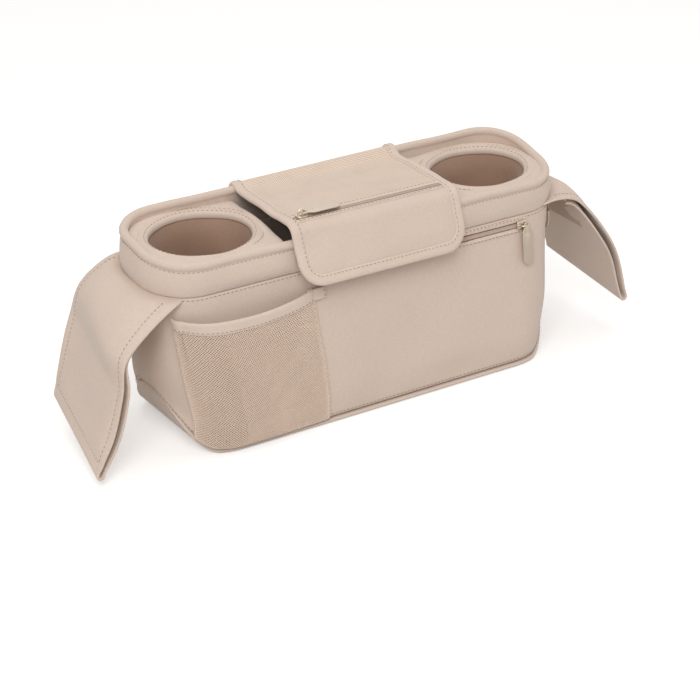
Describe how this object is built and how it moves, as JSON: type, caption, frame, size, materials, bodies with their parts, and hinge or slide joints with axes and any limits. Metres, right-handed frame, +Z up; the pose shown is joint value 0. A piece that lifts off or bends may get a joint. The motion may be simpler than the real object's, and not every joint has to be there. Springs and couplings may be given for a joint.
{
  "type": "stroller organizer",
  "caption": "Soft fabric stroller organizer bag: padded cup wells at both ends, zipped folding flap, zipped front pocket, net pocket and two hanging straps.",
  "frame": {"origin": "on the surface it stands on, under the middle of the base", "axes": "+Z up, +X along the long side towards the end without the net pocket, -Y towards the front with the zipped pocket"},
  "size_m": [0.5075, 0.129, 0.1764],
  "materials": {
    "cloth": "matt",
    "lining": "matt",
    "mesh_cloth": "matt",
    "flap_lining_cloth": "matt",
    "net": "matt",
    "zip_tape": "matt",
    "zip_teeth": "satin",
    "metal": "polished",
    "board": "satin",
    "fastener": "matt"
  },
  "bodies": {
    "bag": {"front_wall": "cloth", "back_wall": "cloth", "front_yoke": "cloth", "back_yoke": "cloth", "base_panel": "cloth", "left_cup_top": "cloth", "right_cup_top": "cloth", "left_cup_facing": "cloth", "right_cup_facing": "cloth", "left_divider": "cloth", "right_divider": "cloth", "front_pocket_lining": "cloth", "flap_front_panel": "cloth", "flap_binding": "cloth", "net_pocket_tab": "cloth", "net_pocket_binding": "cloth", "left_strap": "cloth", "right_strap": "cloth", "left_ring_tab": "cloth", "right_ring_tab": "cloth", "left_cup_sleeve": "lining", "right_cup_sleeve": "lining", "left_cup_floor": "lining", "right_cup_floor": "lining", "flap_mesh_panel": "mesh_cloth", "flap_lining": "flap_lining_cloth", "net_pocket": "net", "front_zip_tape_lower": "zip_tape", "front_zip_tape_upper": "zip_tape", "flap_zip_tape_rear": "zip_tape", "flap_zip_tape_front": "zip_tape", "front_zip_teeth": "zip_teeth", "flap_zip_teeth": "zip_teeth", "base_board": "board", "left_strap_loop_patch": "fastener", "left_strap_hook_patch": "fastener", "right_strap_loop_patch": "fastener", "right_strap_hook_patch": "fastener"},
    "front_slider": {"front_zip_slider": "metal"},
    "front_pull": {"front_zip_pull": "metal"},
    "flap_slider": {"flap_zip_slider": "metal"},
    "flap_pull": {"flap_zip_pull": "metal"},
    "left_ring": {"left_ring": "metal"},
    "right_ring": {"right_ring": "metal"}
  },
  "joints": [
    {"name": "front_zip_slide", "type": "slide", "parent": "bag", "child": "front_slider", "axis": [1, 0, 0], "range_m": [-0.177, 0]},
    {"name": "front_pull_swing", "type": "hinge", "parent": "front_slider", "child": "front_pull", "pos_m": [0.145, -0.05135, 0.1217], "axis": [0, -0.9889, 0.1488], "range_deg": [-30, 90]},
    {"name": "flap_zip_slide", "type": "slide", "parent": "bag", "child": "flap_slider", "axis": [1, 0, 0], "range_m": [0, 0.1234]},
    {"name": "flap_pull_flip", "type": "hinge", "parent": "flap_slider", "child": "flap_pull", "pos_m": [-0.0617, -0.03512, 0.17275], "axis": [0, 0.9997, 0.0245], "range_deg": [-170, 0]},
    {"name": "left_ring_swing", "type": "hinge", "parent": "bag", "child": "left_ring", "pos_m": [-0.19209, -0.009, 0.11352], "axis": [0, 1, 0], "range_deg": [-12, 25]},
    {"name": "right_ring_swing", "type": "hinge", "parent": "bag", "child": "right_ring", "pos_m": [0.19209, -0.009, 0.11352], "axis": [0, 1, 0], "range_deg": [-40, 12]}
  ]
}
